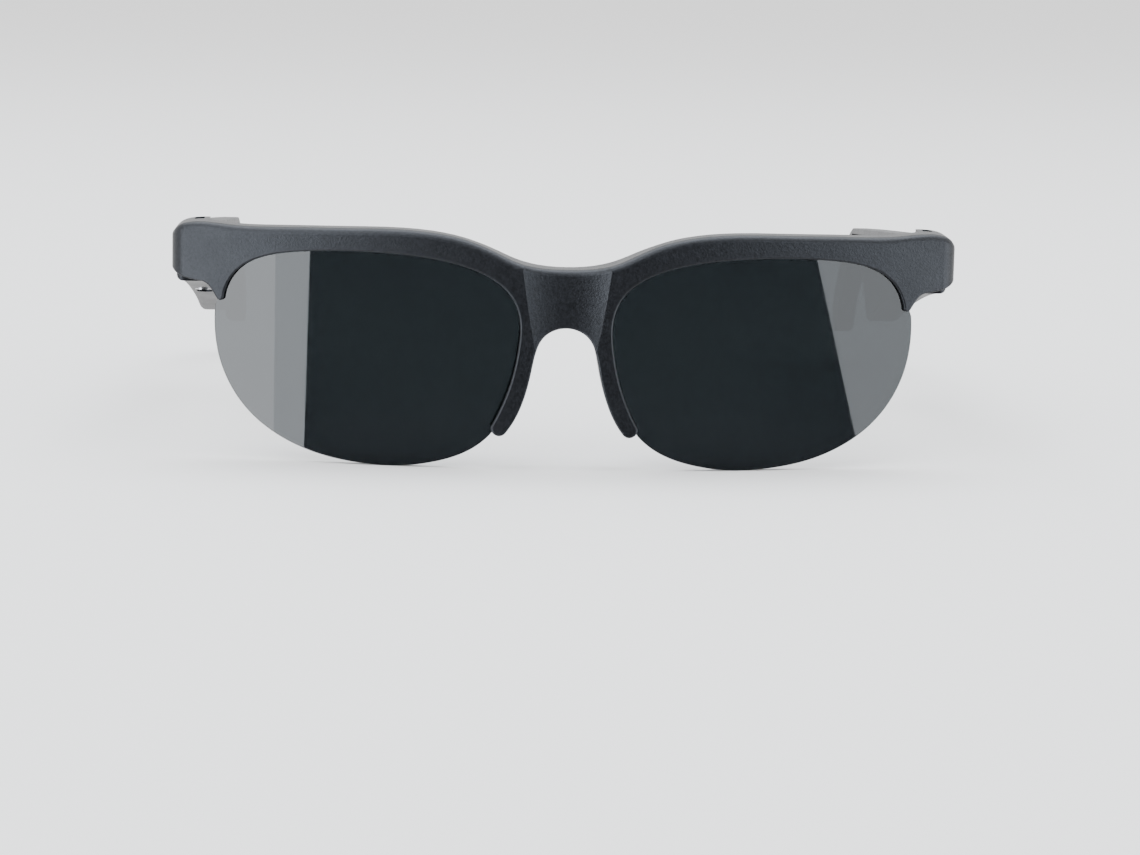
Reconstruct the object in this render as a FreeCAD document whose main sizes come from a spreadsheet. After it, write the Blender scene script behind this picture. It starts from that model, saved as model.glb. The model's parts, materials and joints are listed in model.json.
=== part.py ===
import FreeCAD, Part
import math
import os
import re


# Half-rim audio glasses. Millimetres, +Z up, +X to the wearer's left, the lenses face -Y.
# The front stands upright with the bottoms of its lenses at z = 0, and the temples are open behind it.
# The origin is under the middle of the whole object.

Vector = FreeCAD.Vector
Rotation = FreeCAD.Rotation
Placement = FreeCAD.Placement

doc = FreeCAD.newDocument("smart_glasses")
sheet = doc.addObject("Spreadsheet::Sheet", "sizes")

SIZES = {
    # origin
    "origin_back": 76.9,
    # front
    "half_width": 73.0,
    "wrap_radius": 220.0,
    "brow_depth": 4.8,
    "stock_height": 48.0,
    "bridge_depth": 7.6,
    "end_piece_inner": 66.3,
    "end_piece_rear": 20.6,
    "end_piece_round": 3.5,
    "top_round": 1.2,
    "edge_round": 0.35,
    "scoop_radius": 24.0,
    "scoop_deep": 1.15,
    "scoop_lean": 3.2,
    # lenses
    "lens_inset": 0.9,
    "lens_thick": 1.8,
    "groove_deep": 1.0,
    "lens_round": 0.15,
    # hinges
    "hinge_side": 66.2,
    "hinge_back": 19.9,
    "hinge_top": 42.7,
    "stack_bottom": 34.4,
    "knuckle_round": 1.35,
    "knuckle_tall": 2.05,
    "knuckle_gap": 0.125,
    "pin_round": 0.6,
    "pin_running": 0.03,
    "pin_head_round": 1.0,
    "pin_head_tall": 0.4,
    "pin_slot_wide": 0.3,
    "pin_slot_deep": 0.2,
    "leaf_thick": 1.0,
    "front_leaf_long": 5.0,
    "front_leaf_out": 1.45,
    "pocket_clear": 0.2,
    "pocket_out": 3.05,
    "pocket_deep": 3.7,
    "window_wide": 1.8,
    "window_deep": 3.0,
    "rear_leaf_long": 9.2,
    "rear_leaf_tall": 6.0,
    "rear_leaf_start": 3.0,
    "rear_leaf_face": 1.65,
    "leaf_screw_round": 0.7,
    "leaf_screw_head": 1.25,
    "leaf_screw_sink": 0.6,
    "leaf_screw_long": 2.9,
    "leaf_screw_pitch": 4.4,
    # temples
    "temple_long": 136.0,
    "temple_thick": 6.0,
    "temple_face": 0.5,
    "temple_end": 1.05,
    "temple_droop": 5.0,
    "tail_thick": 4.3,
    "shell_round": 1.3,
    "shell_lip_round": 0.35,
    "rim_wide": 1.2,
    "cover_gap": 0.25,
    "cover_thick": 1.0,
    "cover_round": 0.2,
    "rebate_deep": 1.05,
    "cavity_deep": 4.8,
    "seat_long": 13.4,
    "seat_tall": 7.8,
    "seat_deep": 2.25,
    # electronics, all measured out from the hinge line along the temple
    "board_thick": 0.8,
    "board_long": 25.0,
    "board_tall": 6.0,
    "chip_side": 5.0,
    "chip_thick": 0.85,
    "switch_side": 3.4,
    "switch_thick": 1.0,
    "mic_long": 3.0,
    "mic_tall": 2.0,
    "mic_thick": 0.85,
    "socket_wide": 8.9,
    "socket_thick": 3.2,
    "socket_deep": 5.0,
    "socket_wall": 0.3,
    "tongue_wide": 6.6,
    "tongue_thick": 0.7,
    "battery_long": 19.0,
    "battery_tall": 9.2,
    "battery_thick": 3.2,
    "battery_round": 0.8,
    "speaker_long": 12.0,
    "speaker_tall": 8.0,
    "speaker_thick": 3.0,
    "gasket_thick": 0.3,
    "gasket_wide": 0.9,
    "grille_long": 4.2,
    "grille_wide": 2.6,
    "grille_thick": 0.5,
    "grille_hole": 0.22,
    "grille_pitch": 0.75,
    "antenna_long": 16.0,
    "antenna_tall": 3.0,
    "antenna_thick": 0.2,
    "lead_round": 0.35,
    "light_round": 0.7,
    "light_long": 4.0,
    "mic_hole": 0.5,
    # buttons
    "button_long": 8.0,
    "button_tall": 3.4,
    "button_proud": 0.5,
    "button_gap": 0.15,
    "button_deep": 1.35,
    "button_round": 0.35,
    "flange_wide": 0.7,
    "flange_thick": 0.5,
}

for row, (alias, number) in enumerate(SIZES.items(), start=1):
    sheet.set(f"A{row}", alias)
    sheet.set(f"B{row}", str(number))
    sheet.setAlias(f"B{row}", alias)
doc.recompute()

# Each side's name, and the way along X in which it lies. The right side is modelled and the left mirrors it.
SIDES = (("right", -1), ("left", 1))


# ---- helpers

def size(alias):
    """The number in the sheet's cell with this alias."""
    return float(sheet.get(alias))


def bind(item, prop, formula):
    """Ties a property to a formula whose words are the sheet's aliases."""
    item.setExpression(prop, re.sub(r"[a-z][a-z_]+", r"sizes.\g<0>", formula))


def origin_plane(body, role):
    """One of a body's own origin planes."""
    return next(plane for plane in body.Origin.OriginFeatures if plane.Role == role)


def new_body(label):
    """A body whose label names its file."""
    body = doc.addObject("PartDesign::Body", label)
    body.Label = label
    return body


def new_sketch(body, name, role, curves, shift="0"):
    """A sketch on an origin plane, moved along the plane's normal by a formula."""
    sketch = body.newObject("Sketcher::SketchObject", name)
    sketch.AttachmentSupport = (origin_plane(body, role), [""])
    sketch.MapMode = "FlatFace"
    if shift != "0":
        bind(sketch, "AttachmentOffset.Base.z", shift)
    sketch.addGeometry(curves, False)
    return sketch


def add_pad(body, sketch, length, back=False):
    """Pads a sketch. A sketch on the XZ plane faces -Y, so back=True pads it towards +Y."""
    feature = body.newObject("PartDesign::Pad", sketch.Name + "_pad")
    feature.Profile = sketch
    feature.Reversed = back
    bind(feature, "Length", length)
    doc.recompute()
    return feature


def add_pocket(body, sketch, length=None, back=False):
    """Pockets a sketch against its normal, or along it if back, or right through both ways."""
    before = body.Shape.Volume
    feature = body.newObject("PartDesign::Pocket", sketch.Name + "_pocket")
    feature.Profile = sketch
    if length is None:
        feature.SideType = "Two sides"
        feature.Type = "ThroughAll"
        feature.Type2 = "ThroughAll"
    else:
        feature.Reversed = back
        bind(feature, "Length", length)
    doc.recompute()
    if not body.Shape.Volume < before - 1e-6:
        raise ValueError(f"{feature.Name} cuts nothing")
    return feature


def add_fillet(body, name, edges, radius):
    """Rounds some of a body's edges."""
    base = body.Tip
    feature = body.newObject("PartDesign::Fillet", name)
    feature.Base = (base, edges)
    body.Tip = feature
    bind(feature, "Radius", radius)
    doc.recompute()
    if "Invalid" in feature.State or feature.Shape.isNull() or not feature.Shape.isValid():
        raise ValueError(f"{name} failed")
    return feature


def line(start, end):
    """A straight sketch edge between two (a, b) pairs."""
    return Part.LineSegment(Vector(*start, 0), Vector(*end, 0))


def arc(start, middle, end):
    """A circular sketch edge through three (a, b) pairs."""
    return Part.Arc(Vector(*start, 0), Vector(*middle, 0), Vector(*end, 0))


def spline(points):
    """A smooth sketch edge through (a, b) pairs."""
    curve = Part.BSplineCurve()
    curve.interpolate([Vector(*point, 0) for point in points])
    return curve


def polygon(points):
    """Straight edges round a closed run of (a, b) pairs."""
    return [line(points[i - 1], points[i]) for i in range(len(points))]


def rectangle(low, high):
    """The four edges of a rectangle between two opposite corners."""
    return polygon([low, (high[0], low[1]), high, (low[0], high[1])])


def slot(centre, long, tall):
    """A rectangle with half-round ends, long along its first axis."""
    a, b = centre
    r = tall / 2
    reach = long / 2 - r
    return [
        line((a - reach, b - r), (a + reach, b - r)),
        arc((a + reach, b - r), (a + reach + r, b), (a + reach, b + r)),
        line((a + reach, b + r), (a - reach, b + r)),
        arc((a - reach, b + r), (a - reach - r, b), (a - reach, b - r)),
    ]


def circle(centre, radius):
    """A round sketch edge."""
    return Part.Circle(Vector(*centre, 0), Vector(0, 0, 1), radius)


def mirrored(points):
    """The same points on the other side of the first axis's zero, in the opposite order."""
    return [(-a, b) for a, b in reversed(points)]


def inset(points, distance):
    """A closed run of points moved to its right as it runs, with mitred corners."""
    moved = []
    for i, (a, b) in enumerate(points):
        before = points[i - 1]
        after = points[(i + 1) % len(points)]
        normals = []
        for start, end in ((before, (a, b)), ((a, b), after)):
            da = end[0] - start[0]
            db = end[1] - start[1]
            run = math.hypot(da, db)
            normals.append((db / run, -da / run))
        (na, nb), (ma, mb) = normals
        grow = distance / (1 + na * ma + nb * mb)
        moved.append((a + grow * (na + ma), b + grow * (nb + mb)))
    return moved


def joined(parts):
    """Sketch edges of an outline given as (kind, number of points) over one closed run of points."""
    points, kinds = parts
    curves = []
    at = 0
    for kind, steps in kinds:
        run = [points[(at + k) % len(points)] for k in range(steps + 1)]
        curves.append(line(*run) if kind == "line" else spline(run))
        at += steps
    return curves


def box(name, frame, low, dims):
    """A Part::Box with its low corner in a frame and its three sides bound to the sheet."""
    item = doc.addObject("Part::Box", name)
    for prop, formula in zip(("Length", "Width", "Height"), dims):
        bind(item, prop, formula)
    item.Placement = frame.multiply(Placement(Vector(*low), Rotation()))
    doc.recompute()
    return item


def rod(name, frame, base, radius, height, axis=(0, 0, 1)):
    """A Part::Cylinder along an axis of a frame, with its sizes bound to the sheet."""
    item = doc.addObject("Part::Cylinder", name)
    bind(item, "Radius", radius)
    bind(item, "Height", height)
    turn = Rotation(Vector(0, 0, 1), Vector(*axis))
    item.Placement = frame.multiply(Placement(Vector(*base), turn))
    doc.recompute()
    return item


def cut(label, base, tools):
    """Base less each tool in turn. The last cut carries the label."""
    for number, tool in enumerate(tools):
        item = doc.addObject("Part::Cut", f"{label}_cut{number}")
        item.Base = base
        item.Tool = tool
        doc.recompute()
        base = item
    base.Label = label
    return base


def fuse(label, shapes):
    """Several shapes made one."""
    item = doc.addObject("Part::MultiFuse", label)
    item.Shapes = shapes
    item.Refine = True
    doc.recompute()
    item.Label = label
    return item


def meeting_edges(shape, wanted):
    """Names of the edges for which wanted(middle, normal, other normal) holds, either way round."""
    names = []
    for number, edge in enumerate(shape.Edges, start=1):
        faces = shape.ancestorsOfType(edge, Part.Face)
        if len(faces) != 2:
            continue
        middle = edge.valueAt((edge.FirstParameter + edge.LastParameter) / 2)
        first, second = (
            face.normalAt(*face.Surface.parameter(middle)) for face in faces
        )
        if first.dot(second) > 0.9:
            continue
        if wanted(middle, first, second) or wanted(middle, second, first):
            names.append(f"Edge{number}")
    return names


# ---- front frame

def wrap_y(x, inside=0.0):
    """How far back the wrapped front lies at x, on the cylinder that many millimetres inside its face."""
    radius = size("wrap_radius")
    return radius - math.sqrt((radius - inside) ** 2 - x * x)


# Halves of the front's outline as (x, z), from the middle outwards or as each comment says.
BROW_TOP = [(0, 37.0), (5, 37.3), (9.5, 38.45), (13.5, 40.3), (18.1, 42.1), (24.5, 43.4),
            (31.5, 43.85), (40.4, 43.75), (52, 43.5), (62, 43.5), (69.6, 43.65)]
END_SIDE = [(69.6, 43.65), (71.6, 42.95), (73.1, 41.1), (73.9, 38.5), (73.6, 36.2),
            (72.4, 34.35), (70.2, 33.3), (67.2, 32.8)]
HOOK_OUTSIDE = [(67.2, 32.8), (65.8, 31.9), (64.9, 30.6), (64.35, 29.75)]
HOOK_TIP = (63.65, 29.45)
LENS_OPENING = [(63.1, 30.2), (62.1, 33.1), (60.1, 35.6), (56.5, 37.65), (49.3, 39.1), (38.5, 39.55), (27.7, 39.0),
                (19.5, 37.55), (13.1, 34.8), (9.9, 31.6), (8.55, 27.4), (8.75, 22.4), (9.7, 17.4), (11.3, 12.6),
                (13.5, 8.0)]
NOSE_TIP = (12.4, 6.3)
NOSE_ARCH = [(10.75, 6.9), (8.35, 11.0), (7.0, 15.0), (6.15, 18.9), (5.5, 21.9), (4.3, 24.4), (2.4, 25.8), (0, 26.3)]
# The lens's free edge, from the nose arm's tip round the bottom and up to the hook.
LENS_FREE = [(13.7, 6.35), (18.1, 3.05), (24.5, 0.9), (31.5, 0.0), (38.5, 0.4), (45.5, 1.75), (52, 4.35),
             (57.5, 8.2), (61.3, 12.8), (63.7, 18.0), (64.75, 23.4), (64.75, 28.4)]


def front_outline():
    """The closed edge of the brow bar, bridge, nose arms and end pieces, seen from the front."""
    half = [
        spline(HOOK_OUTSIDE),
        arc(HOOK_OUTSIDE[-1], HOOK_TIP, LENS_OPENING[0]),
        spline(LENS_OPENING),
        arc(LENS_OPENING[-1], NOSE_TIP, NOSE_ARCH[0]),
    ]
    other = [
        spline(mirrored(HOOK_OUTSIDE)),
        arc(mirrored([LENS_OPENING[0]])[0], mirrored([HOOK_TIP])[0], mirrored([HOOK_OUTSIDE[-1]])[0]),
        spline(mirrored(LENS_OPENING)),
        arc(mirrored([NOSE_ARCH[0]])[0], mirrored([NOSE_TIP])[0], mirrored([LENS_OPENING[-1]])[0]),
    ]
    top_half = BROW_TOP + END_SIDE[1:]
    top = spline(mirrored(top_half) + top_half[1:])
    arch = spline(NOSE_ARCH + mirrored(NOSE_ARCH)[1:])
    return half + other + [top, arch]


def front_plan():
    """The closed edge of the same moulding seen from above: wrapped face, end pieces, thick bridge."""
    half = size("half_width")
    round_end = size("end_piece_round")
    depth = size("brow_depth")
    inner = size("end_piece_inner")
    rear = size("end_piece_rear")
    slope = math.asin((half - 0.68 * round_end) / size("wrap_radius"))
    start = half - round_end * (1 - math.sin(slope))
    flank = wrap_y(start) + round_end * math.cos(slope)
    bend = (math.pi / 2 - slope) / 2
    corner = (half - round_end * (1 - math.cos(bend)), flank - round_end * math.sin(bend))
    step = 1.6
    blend = inner - step
    bridge = size("bridge_depth")
    rear_middle = [(19.0, wrap_y(19.0, depth)), (15.5, wrap_y(15.5, depth) + 0.45), (12.2, bridge - 0.6),
                   (9.0, bridge), (0.0, bridge - 0.4)]
    curves = [arc((-start, wrap_y(start)), (0.0, 0.0), (start, wrap_y(start)))]
    for way in (1, -1):
        outside = (way * half, flank)
        curves += [
            arc((way * start, wrap_y(start)), (way * corner[0], corner[1]), outside),
            line(outside, (way * half, rear)),
            line((way * half, rear), (way * inner, rear)),
            line((way * inner, rear), (way * inner, wrap_y(inner, depth) + step)),
            arc((way * inner, wrap_y(inner, depth) + step),
                (way * (inner - 0.3 * step), wrap_y(inner, depth) + 0.3 * step),
                (way * blend, wrap_y(blend, depth))),
            arc((way * blend, wrap_y(blend, depth)), (way * 40.0, wrap_y(40.0, depth)),
                (way * 19.0, wrap_y(19.0, depth))),
        ]
    back = rear_middle + mirrored(rear_middle)[1:]
    curves.append(spline(back))
    return curves


def stock_with_outline(outline):
    """An outline inside a rectangle larger than the front: what lies between them is cut away."""
    return rectangle((-90, -10), (90, 60)) + outline


def lens_outline():
    """The right lens's closed edge: the opening grown into its groove, then the free lower edge."""
    opening = LENS_OPENING + [(13.7, 7.2)]
    groove = inset(opening + LENS_FREE[1:], size("groove_deep"))[: len(LENS_OPENING) - 1]
    groove[0] = (groove[0][0], LENS_OPENING[0][1] + 0.3)
    upper = mirrored(groove + [LENS_FREE[0]])
    lower = mirrored(LENS_FREE)
    return [spline(upper), line(upper[-1], lower[0]), spline(lower)]


def lens(side):
    """A tinted lens bent to the wrap, with its edge in the front's groove."""
    body = new_body(f"{side}_lens")
    face = size("lens_inset")
    back = face + size("lens_thick")
    near, middle, far = -6.0, -38.0, -67.0
    plan = [
        arc((near, wrap_y(near, face)), (middle, wrap_y(middle, face)), (far, wrap_y(far, face))),
        line((far, wrap_y(far, face)), (far, wrap_y(far, back))),
        arc((far, wrap_y(far, back)), (middle, wrap_y(middle, back)), (near, wrap_y(near, back))),
        line((near, wrap_y(near, back)), (near, wrap_y(near, face))),
    ]
    blank = new_sketch(body, f"{side}_lens_plan", "XY_Plane", plan, "-1")
    add_pad(body, blank, "stock_height")
    edge = new_sketch(body, f"{side}_lens_edge", "XZ_Plane", stock_with_outline(lens_outline()))
    add_pocket(body, edge)
    rim = meeting_edges(
        body.Shape,
        lambda at, a, b: abs(a.y) < 0.05 and abs(b.y) > 0.5 and at.z < 28,
    )
    add_fillet(body, f"{side}_lens_rim", rim, "lens_round")
    body.Placement = front_frame_place()
    return body


def front_frame_place():
    """Where the front stands in the shared frame, whose origin is under the middle of the object."""
    return Placement(Vector(0, -size("origin_back"), 0), Rotation())


def front_blank():
    """The front moulding before the lens grooves and the hinge leaves' slots are cut."""
    body = new_body("front_blank")
    plan = new_sketch(body, "front_plan", "XY_Plane", front_plan())
    add_pad(body, plan, "stock_height")
    outline = new_sketch(body, "front_outline", "XZ_Plane", stock_with_outline(front_outline()))
    add_pocket(body, outline)

    scoop = body.newObject("PartDesign::SubtractiveCylinder", "bridge_scoop")
    scoop.AttachmentSupport = (origin_plane(body, "XY_Plane"), [""])
    scoop.MapMode = "FlatFace"
    bind(scoop, "Radius", "scoop_radius")
    bind(scoop, "Height", "stock_height * 2")
    middle_height = 30.0
    lean = math.radians(size("scoop_lean"))
    base_height = -20.0
    base_back = size("scoop_deep") - size("scoop_radius") - (middle_height - base_height) * math.tan(lean)
    scoop.AttachmentOffset = Placement(
        Vector(0, base_back, base_height), Rotation(Vector(1, 0, 0), -size("scoop_lean"))
    )
    doc.recompute()

    brow_line = 36.0
    top = meeting_edges(
        body.Shape,
        lambda at, a, b: abs(a.y) < 0.05 and a.z > 0.6 and b.y < -0.5 and at.z > brow_line,
    )
    add_fillet(body, "brow_top_round", top, "top_round")
    rim = meeting_edges(
        body.Shape,
        lambda at, a, b: abs(a.y) < 0.05 and b.y < -0.5 and not (a.z > 0.6 and at.z > brow_line),
    )
    add_fillet(body, "front_edge_round", rim, "edge_round")

    for side, way in SIDES:
        hinge_pocket(body, side, way)
    body.Placement = front_frame_place()
    return body


def hinge_pocket(body, side, way):
    """The recess for the hinge in the back of an end piece, and the small window in its top."""
    pin = size("hinge_side")
    outer = way * (pin + size("pocket_out"))
    inner = way * (pin - 3.0)
    rear = size("end_piece_rear")
    recess = rectangle((inner, rear - size("pocket_deep")), (outer, rear + 1.0))
    deep = new_sketch(
        body, f"{side}_hinge_pocket", "XY_Plane", recess,
        "stack_bottom + knuckle_tall * 3 + knuckle_gap * 2 + pocket_clear",
    )
    add_pocket(body, deep, "knuckle_tall * 3 + knuckle_gap * 2 + pocket_clear * 2")
    leaf_middle = pin + size("front_leaf_out") + size("leaf_thick") / 2
    half_window = size("window_wide") / 2
    front = rear - size("pocket_deep")
    opening = rectangle(
        (way * (leaf_middle - half_window), front),
        (way * (leaf_middle + half_window), front + size("window_deep")),
    )
    window = new_sketch(body, f"{side}_hinge_window", "XY_Plane", opening, "stock_height")
    add_pocket(body, window, "stock_height - hinge_top + 2.6")


# ---- hinges

def hinge_frames():
    """Frames at the right hinge's pin: level with the front, turned with the temple, and drooped with it."""
    back = size("hinge_back") - size("origin_back")
    level = Placement(Vector(-size("hinge_side"), back, 0), Rotation())
    turned = Placement(
        Vector(-size("hinge_side"), back, size("hinge_top")), Rotation(Vector(0, 0, 1), 90)
    )
    droop = Placement(Vector(), Rotation(Vector(0, 1, 0), size("temple_droop")))
    return level, turned, turned.multiply(droop)


def knuckle_floor(number):
    """The height of the underside of one of the three knuckles, counted from the bottom."""
    return size("stack_bottom") + number * (size("knuckle_tall") + size("knuckle_gap"))


def hinge_pin(side, upright):
    """The slotted screw that is the hinge's pin."""
    body = new_body(f"{side}_hinge_pin")
    low = size("stack_bottom")
    high = knuckle_floor(2) + size("knuckle_tall")
    neck = high - size("pin_head_tall")
    shank = size("pin_round")
    head = size("pin_head_round")
    half = polygon([(0, low), (shank, low), (shank, neck), (head, neck), (head, high), (0, high)])
    profile = new_sketch(body, f"{side}_pin_profile", "XZ_Plane", half)
    turned = body.newObject("PartDesign::Revolution", f"{side}_pin_turned")
    turned.Profile = profile
    turned.ReferenceAxis = (profile, ["V_Axis"])
    turned.Angle = 360
    doc.recompute()
    across = size("pin_slot_wide") / 2
    groove = rectangle((-head - 1, -across), (head + 1, across))
    driver = new_sketch(body, f"{side}_pin_slot", "XY_Plane", groove,
                        "stack_bottom + knuckle_tall * 3 + knuckle_gap * 2")
    add_pocket(body, driver, "pin_slot_deep")
    body.Placement = upright
    return body


def front_leaf(side, upright, pin):
    """The hinge leaf set in the end piece: a plate with the top and bottom knuckles."""
    out = size("front_leaf_out")
    thick = size("leaf_thick")
    plate_end = -0.2
    shapes = [
        box(f"{side}_front_plate", upright,
            (-out - thick, plate_end - size("front_leaf_long"), size("stack_bottom")),
            ("leaf_thick", "front_leaf_long", "knuckle_tall * 3 + knuckle_gap * 2")),
    ]
    for number in (0, 2):
        floor = knuckle_floor(number)
        shapes += [
            rod(f"{side}_front_knuckle{number}", upright, (0, 0, floor), "knuckle_round", "knuckle_tall"),
            box(f"{side}_front_web{number}", upright, (-out - thick / 2, plate_end - thick, floor),
                ("front_leaf_out + leaf_thick / 2", "leaf_thick", "knuckle_tall")),
        ]
    whole = fuse(f"{side}_front_leaf_whole", shapes)
    return cut(f"{side}_hinge_front_leaf", whole, [pin])


def screw_places():
    """The leaf screws' (x, z) places in the drooped temple frame."""
    first = size("rear_leaf_start") + 2.6
    return [((first + n * size("leaf_screw_pitch")), -5.4) for n in (0, 1)]


def leaf_screws(side, drooped):
    """Two countersunk screws that hold the rear leaf to the temple's shell, as one group."""
    face = size("rear_leaf_face")
    screws = []
    for number, (x, z) in enumerate(screw_places()):
        head = doc.addObject("Part::Cone", f"{side}_screw_head{number}")
        bind(head, "Radius1", "leaf_screw_head")
        bind(head, "Radius2", "leaf_screw_round")
        bind(head, "Height", "leaf_screw_sink")
        turn = Rotation(Vector(0, 0, 1), Vector(0, 1, 0))
        head.Placement = drooped.multiply(Placement(Vector(x, face, z), turn))
        shank = rod(f"{side}_screw_shank{number}", drooped, (x, face, z),
                    "leaf_screw_round", "leaf_screw_long", (0, 1, 0))
        screws.append(fuse(f"{side}_leaf_screw{number}", [head, shank]))
    group = doc.addObject("Part::Compound", f"{side}_leaf_screws")
    group.Links = screws
    group.Label = f"{side}_leaf_screws"
    doc.recompute()
    return group


def rear_leaf(side, turned, drooped, screws):
    """The hinge leaf in the temple: the middle knuckle, a lug and a plate under the inner cover."""
    floor = knuckle_floor(1) - size("hinge_top")
    start = size("rear_leaf_start")
    face = size("rear_leaf_face")
    lug = box(f"{side}_rear_lug", turned, (0.2, 0.3, floor),
              ("rear_leaf_start + 0.6", "rear_leaf_face + leaf_thick - 0.3", "knuckle_tall"))
    knuckle = rod(f"{side}_rear_knuckle", turned, (0, 0, floor), "knuckle_round", "knuckle_tall")
    plate = box(f"{side}_rear_plate", drooped, (start, face, -5.4 - size("rear_leaf_tall") / 2),
                ("rear_leaf_long", "leaf_thick", "rear_leaf_tall"))
    whole = fuse(f"{side}_rear_leaf_whole", [lug, knuckle, plate])
    bore = rod(f"{side}_rear_bore", turned, (0, 0, floor - 1), "pin_round + pin_running", "knuckle_tall + 2")
    return cut(f"{side}_hinge_rear_leaf", whole, [bore, screws])


# ---- temples

# The temple's side view in its own drooped frame, as (distance from the hinge, height below its top line),
# drawn for a temple that reaches 134.1 from the hinge and scaled to the real length.
DRAWN_REACH = 134.1
TAIL_TOP = [(100, 0), (108.3, -2.2), (118.5, -6.7), (127.2, -11.9)]
TIP_CENTRE = (130.0, -19.3)
TIP_ROUND = 4.1
TAIL_UNDER = [(122.9, -17.7), (114.4, -12.5), (105, -7.9), (97.5, -5.7), (89, -7.2), (80.2, -11.6)]
BELLY = [(76.3, -16.3), (73.9, -18.05), (70, -18.7), (61.5, -17.55), (45, -14.85), (28.5, -12.75), (12, -11.25)]
HINGE_END_TALL = 10.8
END_SLANT = 0.95


def temple_points():
    """The closed run of the temple's outline, and how many points each of its edges takes."""
    scale = size("temple_long") / DRAWN_REACH
    end = size("temple_end")
    tip = [
        (TIP_CENTRE[0] + TIP_ROUND * math.cos(math.radians(turn)),
         TIP_CENTRE[1] + TIP_ROUND * math.sin(math.radians(turn)))
        for turn in (45, 10, -25, -60, -95, -135)
    ]
    drawn = TAIL_TOP + tip + TAIL_UNDER + BELLY
    points = [(end, 0.0)] + [(u * scale, w * scale) for u, w in drawn]
    points.append((end + END_SLANT, -HINGE_END_TALL * scale))
    tail_steps = len(TAIL_TOP) + len(tip) + len(TAIL_UNDER) - 1
    kinds = [("line", 1), ("spline", tail_steps), ("line", 1), ("spline", len(BELLY)), ("line", 1)]
    return points, kinds


def temple_outline(distance=0.0):
    """The temple's outline moved inwards by a distance, as sketch edges for one side."""
    points, kinds = temple_points()
    moved = inset(points, distance)
    return joined(([(u, w) for u, w in moved], kinds))


def cavity_outline():
    """The hollow for the electronics, from behind the hinge leaf to the belly's end."""
    scale = size("temple_long") / DRAWN_REACH
    wall = 2.2
    start = size("seat_long") + 1.4
    under = [(u * scale, w * scale + wall) for u, w in BELLY[2:6]]
    run = [(start, -wall), (77.6, -wall), (79.4, -8.6), (75.4, -14.9)] + under + [(start, -9.2)]
    kinds = [("line", 1), ("line", 1), ("line", 1), ("spline", 5), ("line", 1)]
    return joined(([(u, w) for u, w in run], kinds))


def facet_frame(drooped):
    """A frame on the belly's slanted end: X along the facet, Y across the temple, Z out of it."""
    scale = size("temple_long") / DRAWN_REACH
    (au, aw), (bu, bw) = TAIL_UNDER[-1], BELLY[0]
    middle = (scale * (au + bu) / 2, size("temple_face") + size("temple_thick") / 2, scale * (aw + bw) / 2)
    along = Vector(au - bu, 0, aw - bw).normalize()
    outward = Vector(aw - bw, 0, bu - au).normalize()
    across = outward.cross(along)
    turn = Rotation(along, across, outward, "ZXY")
    return drooped.multiply(Placement(Vector(*middle), turn))


def temple_shell(side, drooped):
    """The outer half of a temple: rim, outer wall, seat for the leaf, hollow and its openings."""
    body = new_body(f"{side}_shell_blank")
    blank = new_sketch(body, f"{side}_shell_outline", "XZ_Plane", temple_outline(), "-temple_face")
    add_pad(body, blank, "temple_thick", back=True)

    outer = size("temple_face") + size("temple_thick")
    tail = size("temple_face") + size("tail_thick")
    thinner = [
        spline([(84.0, outer), (92.0, outer - 0.45), (100.0, tail + 0.35), (108.0, tail)]),
        line((108.0, tail), (150.0, tail)),
        line((150.0, tail), (150.0, outer + 1)),
        line((150.0, outer + 1), (84.0, outer + 1)),
        line((84.0, outer + 1), (84.0, outer)),
    ]
    taper = new_sketch(body, f"{side}_shell_taper", "XY_Plane", thinner)
    add_pocket(body, taper)

    outside = meeting_edges(
        body.Shape, lambda at, a, b: abs(a.y) < 0.1 and b.y > 0.5
    )
    add_fillet(body, f"{side}_shell_outside", outside, "shell_round")
    inside = meeting_edges(
        body.Shape, lambda at, a, b: abs(a.y) < 0.1 and b.y < -0.5
    )
    add_fillet(body, f"{side}_shell_lip", inside, "shell_lip_round")

    rebate = new_sketch(body, f"{side}_rebate", "XZ_Plane",
                        temple_outline(size("rim_wide")), "-temple_face")
    add_pocket(body, rebate, "rebate_deep")
    hollow = new_sketch(body, f"{side}_hollow", "XZ_Plane", cavity_outline(), "-temple_face")
    add_pocket(body, hollow, "cavity_deep")
    seat_top = -5.4 + size("seat_tall") / 2
    seat = rectangle((0, seat_top - size("seat_tall")), (size("seat_long"), seat_top))
    seat_sketch = new_sketch(body, f"{side}_leaf_seat", "XZ_Plane", seat, "-temple_face")
    add_pocket(body, seat_sketch, "seat_deep")

    long, tall, gap = size("button_long"), size("button_tall"), size("button_gap")
    holes = slot(button_centre(), long + 2 * gap, tall + 2 * gap)
    holes.append(circle(mic_centre(), size("mic_hole")))
    wall_holes = new_sketch(body, f"{side}_wall_holes", "XZ_Plane", holes, "-temple_face - temple_thick")
    add_pocket(body, wall_holes, "temple_thick - cavity_deep + 0.1", back=True)
    body.Placement = drooped
    doc.recompute()
    return body


def temple_cover(side, drooped):
    """The inner cover plate, let into the shell's rim all the way round."""
    body = new_body(f"{side}_cover_blank")
    clear = size("rim_wide") + size("cover_gap")
    plate = new_sketch(body, f"{side}_cover_outline", "XZ_Plane", temple_outline(clear), "-temple_face")
    add_pad(body, plate, "cover_thick", back=True)
    rim = meeting_edges(body.Shape, lambda at, a, b: abs(a.y) < 0.1 and b.y < -0.5)
    add_fillet(body, f"{side}_cover_round", rim, "cover_round")
    body.Placement = drooped
    notch = box(f"{side}_cover_notch", drooped, (0, 0, -6.9),
                ("rear_leaf_start + 1.6", "cover_thick * 2", "knuckle_tall + 1.4"))
    return cut(f"{side}_temple_cover", body, [notch])


# ---- buttons

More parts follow.
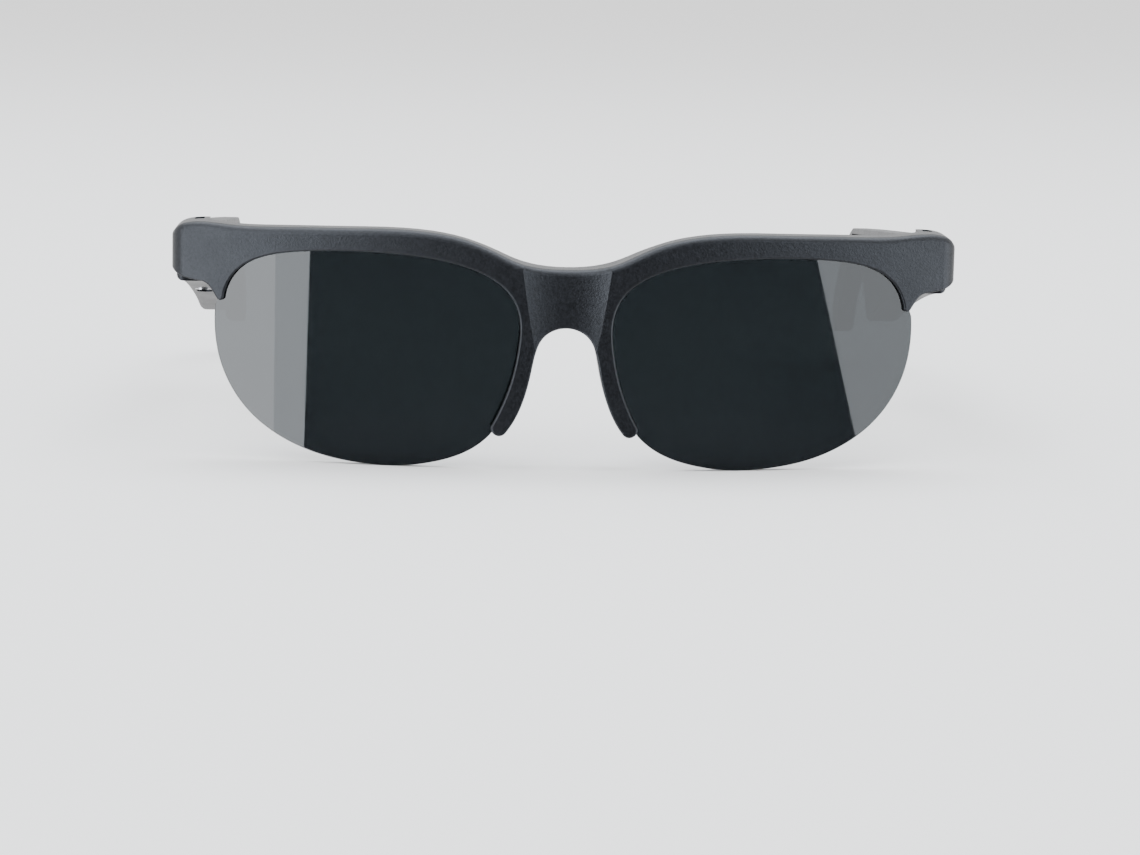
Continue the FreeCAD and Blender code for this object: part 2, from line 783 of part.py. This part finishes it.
def button_centre():
    """The push button's (x, z) place in the drooped frame."""
    return (24.0, -5.2)


def mic_centre():
    """The microphone hole's (x, z) place in the drooped frame."""
    return (16.8, -6.9)


def button(side, drooped):
    """A push button with a retaining flange behind the shell's outer wall."""
    body = new_body(f"{side}_button")
    long, tall, flange = size("button_long"), size("button_tall"), size("flange_wide")
    centre = button_centre()
    cap = new_sketch(body, f"{side}_button_cap", "XZ_Plane", slot(centre, long, tall),
                     "-temple_face - temple_thick - button_proud")
    add_pad(body, cap, "button_proud + button_deep")
    foot = new_sketch(body, f"{side}_button_flange", "XZ_Plane",
                      slot(centre, long + 2 * flange, tall + 2 * flange),
                      "-temple_face - temple_thick + button_deep")
    add_pad(body, foot, "flange_thick")
    crown = meeting_edges(
        body.Shape, lambda at, a, b: abs(a.y) < 0.1 and b.y > 0.5 and at.y > size("temple_thick")
    )
    add_fillet(body, f"{side}_button_round", crown, "button_round")
    body.Placement = drooped
    return body


# ---- electronics

BOARD_START = 15.0
BOARD_TOP = -2.4
BOARD_FACE = 2.45


def circuit(side, drooped):
    """The circuit board and what is soldered to it."""
    top = BOARD_TOP - size("board_tall")
    board = box(f"{side}_circuit_board", drooped,
                (BOARD_START, BOARD_FACE, top),
                ("board_long", "board_thick", "board_tall"))
    chip = box(f"{side}_wireless_chip", drooped,
               (29.5, BOARD_FACE - size("chip_thick"), -7.6),
               ("chip_side", "chip_thick", "chip_side"))
    middle, height = button_centre()
    half = size("switch_side") / 2
    switch = box(f"{side}_tact_switch", drooped,
                 (middle - half, BOARD_FACE + size("board_thick"), height - half),
                 ("switch_side", "switch_thick", "switch_side"))
    across, level = mic_centre()
    microphone = box(f"{side}_microphone", drooped,
                     (across - size("mic_long") / 2,
                      BOARD_FACE + size("board_thick"), level - size("mic_tall") / 2),
                     ("mic_long", "mic_thick", "mic_tall"))
    return [board, chip, switch, microphone]


SOCKET_CENTRE = 35.0


def charging_socket(side, drooped):
    """A charging socket with its mouth in the temple's lower edge: a metal shell round a tongue."""
    body = new_body(f"{side}_charging_socket")
    across = size("temple_face") + 2.9
    wide, thick, wall = size("socket_wide"), size("socket_thick"), size("socket_wall")
    centre = (SOCKET_CENTRE, across)
    top = BOARD_TOP - size("board_tall") - 0.1
    outside = new_sketch(body, f"{side}_socket_outside", "XY_Plane", slot(centre, wide, thick), f"{top}")
    add_pad(body, outside, "socket_deep", back=True)
    tongue_half = size("tongue_wide") / 2
    tongue_thin = size("tongue_thick") / 2
    mouth = slot(centre, wide - 2 * wall, thick - 2 * wall) + rectangle(
        (centre[0] - tongue_half, across - tongue_thin), (centre[0] + tongue_half, across + tongue_thin)
    )
    inside = new_sketch(body, f"{side}_socket_mouth", "XY_Plane", mouth, f"{top} - socket_deep")
    add_pocket(body, inside, "socket_deep - socket_wall * 2", back=True)
    body.Placement = drooped
    return body


def socket_tool(side, drooped):
    """The hole in the shell's lower wall that the socket's mouth comes through."""
    tool = new_body(f"{side}_socket_hole")
    across = size("temple_face") + 2.9
    outline = slot((SOCKET_CENTRE, across), size("socket_wide"), size("socket_thick"))
    sketch = new_sketch(tool, f"{side}_socket_hole_outline", "XY_Plane", outline, f"{BOARD_TOP} - board_tall")
    add_pad(tool, sketch, "socket_deep * 2", back=True)
    tool.Placement = drooped
    return tool


def power(side, drooped):
    """The battery, with rounded sides, and its two leads to the board."""
    body = new_body(f"{side}_battery")
    start = 43.0
    low, high = -12.6, -12.6 + size("battery_tall")
    face = 1.85
    outline = rectangle((start, low), ((start + size("battery_long")), high))
    sketch = new_sketch(body, f"{side}_battery_outline", "XZ_Plane", outline, f"-{face}")
    add_pad(body, sketch, "battery_thick", back=True)
    sides = meeting_edges(body.Shape, lambda at, a, b: abs(a.z) > 0.9 and abs(b.y) > 0.9)
    add_fillet(body, f"{side}_battery_round", sides, "battery_round")
    body.Placement = drooped
    solder = BOARD_FACE + size("board_thick") + size("lead_round")
    wires = [
        rod(f"{side}_battery_lead{n}", drooped, (38.0, solder, -4.6 - 1.6 * n),
            "lead_round", "5", (1, 0, 0))
        for n in (0, 1)
    ]
    group = doc.addObject("Part::Compound", f"{side}_battery_leads")
    group.Links = wires
    doc.recompute()
    return [body, group]


def sound(side, drooped):
    """The speaker, the foam ring on its face and its two leads from the board."""
    start = 63.6
    centre = ((start + size("speaker_long") / 2), -8.6)
    face = 1.95
    speaker = new_body(f"{side}_speaker")
    case = new_sketch(speaker, f"{side}_speaker_case", "XZ_Plane",
                      slot(centre, size("speaker_long"), size("speaker_tall")), f"-{face}")
    add_pad(speaker, case, "speaker_thick", back=True)
    speaker.Placement = drooped
    gasket = new_body(f"{side}_speaker_gasket")
    wide = size("gasket_wide")
    ring = slot(centre, size("speaker_long"), size("speaker_tall")) + slot(
        centre, size("speaker_long") - 2 * wide, size("speaker_tall") - 2 * wide
    )
    foam = new_sketch(gasket, f"{side}_gasket_ring", "XZ_Plane", ring, f"-{face} + gasket_thick")
    add_pad(gasket, foam, "gasket_thick", back=True)
    gasket.Placement = drooped
    group = doc.addObject("Part::Feature", f"{side}_speaker_leads")
    solder = BOARD_FACE + size("board_thick") + size("lead_round")
    runs = [speaker_lead(solder, -2.75, 66.0 + 2.0 * n, n) for n in (0, 1)]
    group.Shape = Part.makeCompound(runs)
    group.Placement = drooped
    return [speaker, gasket, group]


def speaker_lead(across, height, end, number):
    """A lead along the top of the hollow that bends down on to the speaker's rim."""
    depth = across + 0.9 * number
    bend = 0.7
    start = Vector(38.0, depth, height)
    turn = Vector((end - bend), depth, height)
    middle = Vector((end - bend * (1 - math.sin(math.pi / 4))), depth,
                    height - bend * (1 - math.cos(math.pi / 4)))
    down = Vector(end, depth, height - bend)
    last = Vector(end, depth, -4.55)
    path = Part.Wire([
        Part.LineSegment(start, turn).toShape(),
        Part.Arc(turn, middle, down).toShape(),
        Part.LineSegment(down, last).toShape(),
    ])
    ring = Part.Wire([Part.Circle(start, Vector(1, 0, 0), size("lead_round")).toShape()])
    return path.makePipeShell([ring], True, True)


def antenna(side, drooped):
    """A thin strip against the shell's outer wall."""
    face = size("temple_face") + size("cavity_deep") - size("antenna_thick")
    return box(f"{side}_antenna", drooped,
               (44.0, face, -5.6),
               ("antenna_long", "antenna_thick", "antenna_tall"))


def light_guide(side, drooped):
    """A clear rod from the board's status light to the temple's lower edge."""
    return rod(f"{side}_light_guide", drooped, (26.0, 3.4, BOARD_TOP - size("board_tall") - 0.1),
               "light_round", "light_long", (0, 0, -1))


def grille(side, facet):
    """The perforated plate over the speaker's outlet in the belly's slanted end."""
    body = new_body(f"{side}_speaker_grille")
    half_long, half_wide = size("grille_long") / 2, size("grille_wide") / 2
    plate = new_sketch(body, f"{side}_grille_plate", "XY_Plane",
                       rectangle((-half_long, -half_wide), (half_long, half_wide)), "-grille_thick - 0.4")
    add_pad(body, plate, "grille_thick")
    pitch = size("grille_pitch")
    holes = [
        circle((pitch * column, pitch * row), size("grille_hole"))
        for column in (-2, -1, 0, 1, 2)
        for row in (-1, 0, 1)
    ]
    mesh = new_sketch(body, f"{side}_grille_holes", "XY_Plane", holes, "-0.4")
    add_pocket(body, mesh, "grille_thick + 0.1")
    body.Placement = facet
    return body


def grille_slot(side, facet):
    """The outlet through the wall behind the grille."""
    half_long, half_wide = size("grille_long") / 2, size("grille_wide") / 2
    return box(f"{side}_grille_slot", facet, (-half_long, -half_wide, -4.0),
               ("grille_long", "grille_wide", "5"))


# ---- assembly

def right_parts():
    """Every sub-part of the right side: its lens and the hinge leaf set in the front come first."""
    side = "right"
    level, turned, drooped = hinge_frames()
    pin = hinge_pin(side, level)
    screws = leaf_screws(side, drooped)
    facet = facet_frame(drooped)
    light = light_guide(side, drooped)
    shell = cut(f"{side}_temple_shell", temple_shell(side, drooped),
                [screws, socket_tool(side, drooped), light, grille_slot(side, facet)])
    return [
        lens(side), front_leaf(side, level, pin), pin, screws, shell, light,
        rear_leaf(side, turned, drooped, screws),
        temple_cover(side, drooped),
        button(side, drooped),
        charging_socket(side, drooped),
        antenna(side, drooped),
        grille(side, facet),
        *circuit(side, drooped),
        *power(side, drooped),
        *sound(side, drooped),
    ]


def left_part(right):
    """A right sub-part mirrored to the left."""
    label = right.Label.replace("right", "left", 1)
    item = doc.addObject("Part::Mirroring", label)
    item.Source = right
    item.Normal = Vector(1, 0, 0)
    doc.recompute()
    item.Label = label
    return item


def check_document():
    """Stops at any object that failed, and at any sub-part without a valid solid."""
    for item in doc.Objects:
        if "Invalid" in item.State or "Error" in item.State:
            raise ValueError(f"{item.Name} is {item.State}")
    for item in NODES:
        if item.Shape.isNull() or not item.Shape.isValid() or not item.Shape.Solids:
            raise ValueError(f"{item.Label} has no valid solid")


rights = right_parts()
lefts = [left_part(part) for part in rights]
NODES = rights + lefts
NODES.append(cut("front_frame", front_blank(), rights[:2] + lefts[:2]))
doc.recompute()
check_document()

os.makedirs("parts", exist_ok=True)
for node in NODES:
    node.Shape.exportStep(f"parts/{node.Label}.step")
    print(f"{node.Label}: {len(node.Shape.Solids)} solid(s), {node.Shape.Volume:.1f} mm3")
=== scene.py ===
import json
import math

import bpy
from mathutils import Matrix, Vector

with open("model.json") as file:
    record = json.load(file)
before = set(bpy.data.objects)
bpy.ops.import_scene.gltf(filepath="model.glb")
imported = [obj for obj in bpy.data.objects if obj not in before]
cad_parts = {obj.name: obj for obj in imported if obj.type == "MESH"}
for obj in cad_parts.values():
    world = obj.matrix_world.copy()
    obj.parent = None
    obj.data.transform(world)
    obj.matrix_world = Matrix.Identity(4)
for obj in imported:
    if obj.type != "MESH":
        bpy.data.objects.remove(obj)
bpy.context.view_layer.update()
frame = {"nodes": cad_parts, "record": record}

MM = 0.001
# The lenses, from their bottom edge to where the brow covers them.
LENS_HEIGHT = 40.0 * MM
# The place behind the bridge that the lamps face.
MIDDLE = (0.0, -0.06, 0.02)


# ---- node helpers

class Paint:
    """A material built from nodes, with its Principled shader ready to wire."""

    def __init__(self, name, **inputs):
        self.material = bpy.data.materials.new(name)
        self.material.use_nodes = True
        self.tree = self.material.node_tree
        self.shader = next(n for n in self.tree.nodes if n.type == "BSDF_PRINCIPLED")
        for socket, value in inputs.items():
            self.shader.inputs[socket.replace("_", " ")].default_value = value

    def add(self, kind, **settings):
        """A node of a kind, with its properties set."""
        node = self.tree.nodes.new(kind)
        for key, value in settings.items():
            setattr(node, key, value)
        return node

    def wire(self, source, target):
        """Joins one socket to another."""
        self.tree.links.new(source, target)

    def place(self, scale=(1.0, 1.0, 1.0)):
        """Object coordinates stretched by a scale."""
        coords = self.add("ShaderNodeTexCoord")
        mapping = self.add("ShaderNodeMapping")
        mapping.inputs["Scale"].default_value = scale
        self.wire(coords.outputs["Object"], mapping.inputs["Vector"])
        return mapping.outputs["Vector"]

    def noise(self, size, detail=2.0, roughness=0.5, scale=(1.0, 1.0, 1.0)):
        """Noise whose features are about size metres across."""
        node = self.add("ShaderNodeTexNoise")
        node.inputs["Scale"].default_value = 1.0 / size
        node.inputs["Detail"].default_value = detail
        node.inputs["Roughness"].default_value = roughness
        self.wire(self.place(scale), node.inputs["Vector"])
        return node.outputs["Fac"]

    def span(self, source, low, high, start=0.35, end=0.65):
        """A value mapped from start..end to low..high, held at both ends."""
        node = self.add("ShaderNodeMapRange")
        for socket, value in zip(("From Min", "From Max", "To Min", "To Max"), (start, end, low, high)):
            node.inputs[socket].default_value = value
        self.wire(source, node.inputs["Value"])
        return node.outputs["Result"]

    def mix(self, factor, first, second):
        """A colour between two colours."""
        node = self.add("ShaderNodeMix", data_type="RGBA")
        node.inputs[6].default_value = (*first, 1.0)
        node.inputs[7].default_value = (*second, 1.0)
        self.wire(factor, node.inputs[0])
        return node.outputs[2]

    def bump(self, source, depth, strength=1.0):
        """Relief of a depth in metres."""
        node = self.add("ShaderNodeBump")
        node.inputs["Distance"].default_value = depth
        node.inputs["Strength"].default_value = strength
        self.wire(source, node.inputs["Height"])
        self.wire(node.outputs["Normal"], self.shader.inputs["Normal"])

    def colour(self, source):
        """Wires a colour into the shader."""
        self.wire(source, self.shader.inputs["Base Color"])

    def rough(self, source):
        """Wires a roughness into the shader."""
        self.wire(source, self.shader.inputs["Roughness"])


def shade(base, factor):
    """A colour made lighter or darker."""
    return tuple(channel * factor for channel in base)


# ---- materials

def moulded(name, base, rough, grain=0.4 * MM, relief=0.05 * MM):
    """Spark-textured moulded plastic: fine grain, a speckle of about its size and a cloudy sheen."""
    cool_sheen = (0.84, 0.88, 0.96, 1.0)
    cloud = 6.0 * MM
    cloudiness = 0.025
    paint = Paint(name, Metallic=0.0, IOR=1.49, Specular_Tint=cool_sheen)
    paint.bump(paint.noise(grain, 3.0, 0.65), relief)
    speckle = paint.span(paint.noise(grain * 1.3, 2.0, 0.7), 0.0, 1.0, 0.3, 0.7)
    paint.colour(paint.mix(speckle, shade(base, 0.4), shade(base, 2.0)))
    paint.rough(paint.span(paint.noise(cloud, 4.0, 0.6), rough - cloudiness, rough + cloudiness))
    return paint.material


def steel(name, base, rough, squeeze=(1.0, 1.0, 30.0)):
    """Metal with fine scratches, squeezed along the axes that squeeze makes larger, and soft tarnish."""
    scratch, scratch_depth = 0.4 * MM, 0.004 * MM
    tarnish, wear = 3.0 * MM, 0.7 * MM
    paint = Paint(name, Metallic=1.0)
    paint.bump(paint.noise(scratch, 2.0, 0.5, squeeze), scratch_depth)
    paint.colour(paint.mix(paint.noise(tarnish, 3.0), shade(base, 0.8), shade(base, 1.1)))
    paint.rough(paint.span(paint.noise(wear, 3.0, 0.5, squeeze), rough - 0.07, rough + 0.1))
    return paint.material


def tinted(name):
    """Dark glass with a painted gradient of reflection and shade, palest at its bottom edge and darkest
    under the brow, with faint smears.
    """
    # Painted reflection and shade: the tint thins and darkens with height in place of the lens's
    # reflections and the shade under the brow.
    painted_light_tints = (
        (0.0, (0.0140, 0.0164, 0.0184)),
        (0.25, (0.0104, 0.0128, 0.0146)),
        (0.5, (0.0100, 0.0128, 0.0142)),
        (1.0, (0.0090, 0.0112, 0.0128)),
    )
    paint = Paint(name, IOR=1.6, Transmission_Weight=1.0)
    split = paint.add("ShaderNodeSeparateXYZ")
    paint.wire(paint.place(), split.inputs["Vector"])
    height = paint.span(split.outputs["Z"], 0.0, 1.0, 0.0, LENS_HEIGHT)
    ramp = paint.add("ShaderNodeValToRGB")
    ramp.color_ramp.interpolation = "B_SPLINE"
    elements = ramp.color_ramp.elements
    for _ in painted_light_tints[2:]:
        elements.new(0.5)
    for element, (position, tint) in zip(elements, painted_light_tints):
        element.position = position
        element.color = (*tint, 1.0)
    paint.wire(height, ramp.inputs["Fac"])
    paint.colour(ramp.outputs["Color"])
    smear = 9.0 * MM
    paint.rough(paint.span(paint.noise(smear, 4.0, 0.6), 0.008, 0.03))
    return paint.material


def clear(name, base):
    """A clear moulded light pipe."""
    paint = Paint(name, IOR=1.49, Transmission_Weight=0.9)
    paint.colour(paint.mix(paint.noise(1.5 * MM), shade(base, 0.9), base))
    paint.rough(paint.span(paint.noise(0.8 * MM, 2.0), 0.08, 0.2))
    return paint.material


def foil(name, base):
    """Crinkled foil."""
    paint = Paint(name, Metallic=0.9)
    crinkle, crinkle_depth = 2.2 * MM, 0.06 * MM
    paint.bump(paint.noise(crinkle, 4.0, 0.6), crinkle_depth)
    paint.colour(paint.mix(paint.noise(4.0 * MM), shade(base, 0.85), base))
    paint.rough(paint.span(paint.noise(1.0 * MM, 3.0), 0.25, 0.45))
    return paint.material


def laminate(name, base):
    """Solder mask over faint copper tracks."""
    paint = Paint(name, IOR=1.5)
    brick = paint.add("ShaderNodeTexBrick")
    tracks_per_metre = 900.0
    brick.inputs["Scale"].default_value = tracks_per_metre
    brick.inputs["Color1"].default_value = (*base, 1.0)
    brick.inputs["Color2"].default_value = (*shade(base, 1.5), 1.0)
    brick.inputs["Mortar"].default_value = (*shade(base, 2.4), 1.0)
    paint.wire(paint.place(), brick.inputs["Vector"])
    paint.colour(brick.outputs["Color"])
    paint.rough(paint.span(paint.noise(0.7 * MM, 3.0), 0.25, 0.4))
    return paint.material


def foam(name, base):
    """Open-cell foam or soft insulation."""
    paint = Paint(name, IOR=1.45)
    cell, cell_depth = 0.35 * MM, 0.05 * MM
    paint.bump(paint.noise(cell, 3.0, 0.7), cell_depth)
    paint.colour(paint.mix(paint.noise(0.6 * MM, 3.0), shade(base, 0.6), shade(base, 1.4)))
    paint.rough(paint.span(paint.noise(1.0 * MM), 0.7, 0.95))
    return paint.material


charcoal = (0.0050, 0.0055, 0.0070)
FINISHES = {
    "frame_plastic": moulded("frame_plastic_look", charcoal, 0.38),
    # Painted light: the covers share the frame's charcoal plastic, and the 1.4 times lighter shade paints
    # the brighter light that falls on them.
    "cover_plastic": moulded("cover_plastic_painted_light_look", shade(charcoal, 1.4), 0.42),
    "button_plastic": moulded("button_plastic_look", shade(charcoal, 0.75), 0.4, 0.3 * MM, 0.006 * MM),
    "tinted_lens": tinted("tinted_lens_look"),
    "hinge_steel": steel("hinge_steel_look", (0.42, 0.42, 0.43), 0.36),
    "screw_steel": steel("screw_steel_look", (0.58, 0.58, 0.59), 0.3, (1.0, 1.0, 1.0)),
    "battery_foil": foil("battery_foil_look", (0.72, 0.73, 0.75)),
    "board_laminate": laminate("board_laminate_look", (0.015, 0.07, 0.04)),
    "chip_epoxy": moulded("chip_epoxy_look", (0.02, 0.02, 0.022), 0.5),
    "switch_metal": steel("switch_metal_look", (0.6, 0.6, 0.6), 0.35),
    "microphone_can": steel("microphone_can_look", (0.7, 0.6, 0.35), 0.3),
    "socket_metal": steel("socket_metal_look", (0.6, 0.6, 0.62), 0.28),
    "light_guide": clear("light_guide_look", (0.85, 0.9, 0.92)),
    "antenna_copper": steel("antenna_copper_look", (0.72, 0.4, 0.25), 0.35),
    "speaker_case": moulded("speaker_case_look", (0.03, 0.03, 0.033), 0.45),
    "gasket_foam": foam("gasket_foam_look", (0.05, 0.05, 0.05)),
    "grille_steel": steel("grille_steel_look", (0.12, 0.12, 0.13), 0.42),
    "lead_red": foam("lead_red_look", (0.4, 0.03, 0.02)),
    "lead_black": foam("lead_black_look", (0.02, 0.02, 0.02)),
}

slot_of = {part["node"]: part["material_slot"] for part in frame["record"]["subparts"]}
for name, node in frame["nodes"].items():
    for holder in node.material_slots:
        holder.material = FINISHES[slot_of[name]]


# ---- stage, light and camera

def plain(name, base, rough):
    """An even finish for the floor."""
    paint = Paint(name, Base_Color=(*base, 1.0), Roughness=rough)
    paint.shader.inputs["Specular IOR Level"].default_value = 0.1
    return paint.material


def sheet(name, corners, look):
    """A flat four-cornered piece of the stage."""
    mesh = bpy.data.meshes.new(name)
    mesh.from_pydata(corners, [], [(0, 1, 2, 3)])
    mesh.materials.append(look)
    piece = bpy.data.objects.new(name, mesh)
    bpy.context.scene.collection.objects.link(piece)
    return piece


def floor():
    """A wide pale floor. Polished parts don't mirror it, so they show the studio's light instead."""
    reach = 12.0
    corners = [(-reach, -reach, 0), (reach, -reach, 0), (reach, reach, 0), (-reach, reach, 0)]
    ground = sheet("floor", corners, plain("floor_look", (0.93, 0.93, 0.93), 0.9))
    ground.visible_glossy = False


def flag():
    """A black flag before the lenses, seen only in polished parts. It darkens them between the panels."""
    left, right = -0.7, 1.25
    low, high = -1.0, 0.75
    away = -1.15
    corners = [(left, away, low), (right, away, low), (right, away, high), (left, away, high)]
    cloth = sheet("flag", corners, plain("flag_look", (0.004, 0.004, 0.004), 1.0))
    cloth.visible_camera = False
    cloth.visible_diffuse = False
    cloth.visible_transmission = False
    cloth.visible_shadow = False


def lamp(name, place, wide, tall, watts, turn=0.0, diffuse=True):
    """A soft rectangular lamp that faces the glasses, turned about its own axis by some degrees."""
    light = bpy.data.lights.new(name, "AREA")
    light.shape = "RECTANGLE"
    light.size = wide
    light.size_y = tall
    light.energy = watts
    light.color = (0.9, 0.95, 1.0)
    holder = bpy.data.objects.new(name, light)
    facing = (Vector(MIDDLE) - Vector(place)).to_track_quat("-Z", "Y").to_matrix().to_4x4()
    holder.matrix_world = Matrix.Translation(place) @ facing @ Matrix.Rotation(math.radians(turn), 4, "Z")
    holder.visible_diffuse = diffuse
    bpy.context.scene.collection.objects.link(holder)


def panel(name, azimuth, wide, tall, watts, turn):
    """A tall lamp low in front, at an azimuth to the wearer's left, that only polished parts show."""
    reach, elevation = 0.9, -9.0
    side, up = math.radians(azimuth), math.radians(elevation)
    place = (reach * math.sin(side) * math.cos(up), MIDDLE[1] - reach * math.cos(side) * math.cos(up),
             MIDDLE[2] + reach * math.sin(up))
    lamp(name, place, wide, tall, watts, turn, False)


def studio():
    """White surroundings, a broad lamp overhead, a soft one in front and two tall panels."""
    brightness = 1.55
    world = bpy.data.worlds.new("studio")
    world.use_nodes = True
    backdrop = world.node_tree.nodes["Background"]
    backdrop.inputs["Color"].default_value = (1.0, 1.0, 1.0, 1.0)
    backdrop.inputs["Strength"].default_value = brightness
    bpy.context.scene.world = world
    lamp("overhead", (0.0, 0.1, 1.1), 1.6, 1.0, 18.0)
    lamp("front_fill", (-0.5, -1.0, 0.9), 0.8, 0.8, 5.0)
    panel("left_panel", -44.2, 0.46, 1.2, 9.0, -8.0)
    panel("right_panel", 62.0, 0.46, 1.6, 8.0, 57.0)


def camera():
    """A long lens a little above the front, looking slightly down and tilted a degree."""
    azimuth, elevation, roll = -2.36, 9.09, 1.265
    reach = 0.6402
    aim = Vector((1.52 * MM, -64.9 * MM, 6.27 * MM))
    data = bpy.data.cameras.new("camera")
    data.lens = 107.97
    data.sensor_width = 36.0
    side, up = math.radians(azimuth), math.radians(elevation)
    back = Vector((math.sin(side) * math.cos(up), -math.cos(side) * math.cos(up), math.sin(up)))
    facing = (-back).to_track_quat("-Z", "Y").to_matrix().to_4x4()
    tilt = Matrix.Rotation(math.radians(roll), 4, "Z")
    holder = bpy.data.objects.new("camera", data)
    holder.matrix_world = Matrix.Translation(aim + back * reach) @ facing @ tilt
    bpy.context.scene.collection.objects.link(holder)
    bpy.context.scene.camera = holder


floor()
flag()
studio()
camera()
